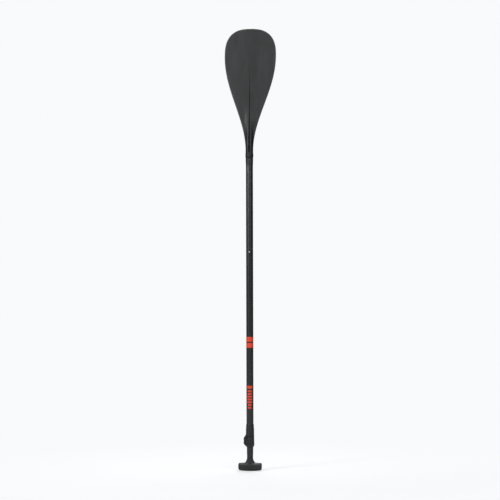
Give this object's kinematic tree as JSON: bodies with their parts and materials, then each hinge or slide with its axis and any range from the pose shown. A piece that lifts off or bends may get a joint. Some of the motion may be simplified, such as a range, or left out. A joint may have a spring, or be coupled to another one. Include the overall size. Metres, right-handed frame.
{
  "type": "single blade paddle",
  "caption": "Adjustable stand-up paddle: long tapered black blade, round jointed shaft with orange bands, lever clamp and T-grip.",
  "frame": {"origin": "on the shaft's axis, at the foot of the T-grip, where the paddle stands with its blade up", "axes": "+Z along the shaft from the grip to the blade; X across the blade, with the clamp's ears on -X; -Y is the blade's power face and +Y the side that the blade leans towards"},
  "size_m": [0.21, 0.0871, 1.8],
  "materials": {
    "blade_plastic": "satin",
    "tube_black": "satin",
    "moulded_black": "matte",
    "grip_black": "matte",
    "orange_print": "satin",
    "steel": "satin",
    "inner_tube": "satin",
    "foam": "matte"
  },
  "bodies": {
    "handle": {"grip": "grip_black", "grip_cap_left": "grip_black", "grip_cap_right": "grip_black", "handle_tube": "inner_tube", "handle_bush": "moulded_black", "handle_plug": "foam"},
    "shaft": {"blade": "blade_plastic", "neck_collar": "moulded_black", "blade_tube": "tube_black", "joint_ring": "moulded_black", "joint_ferrule": "moulded_black", "button_spring": "steel", "blade_tube_plug": "foam", "shaft_tube": "tube_black", "band_lower": "orange_print", "band_upper": "orange_print", "decal_panel": "orange_print", "clamp_collar": "moulded_black", "lever_barrel": "steel", "clamp_bolt": "steel", "clamp_nut": "steel", "cam_saddle": "moulded_black"},
    "lever": {"clamp_lever": "moulded_black"},
    "button": {"lock_button": "steel"}
  },
  "joints": [
    {"name": "length_slide", "type": "slide", "parent": "handle", "child": "shaft", "axis": [0, 0, 1], "range_m": [0, 0.4]},
    {"name": "lever_hinge", "type": "hinge", "parent": "shaft", "child": "lever", "pos_m": [-0.0185, -0.0163, 0.1231], "axis": [0, 0, -1], "range_deg": [0, 140]},
    {"name": "button_press", "type": "slide", "parent": "shaft", "child": "button", "axis": [0, 1, 0], "range_m": [0, 0.004], "stiffness_N_per_m": 1500, "springref_m": -0.003, "deforming": ["button_spring"]}
  ]
}
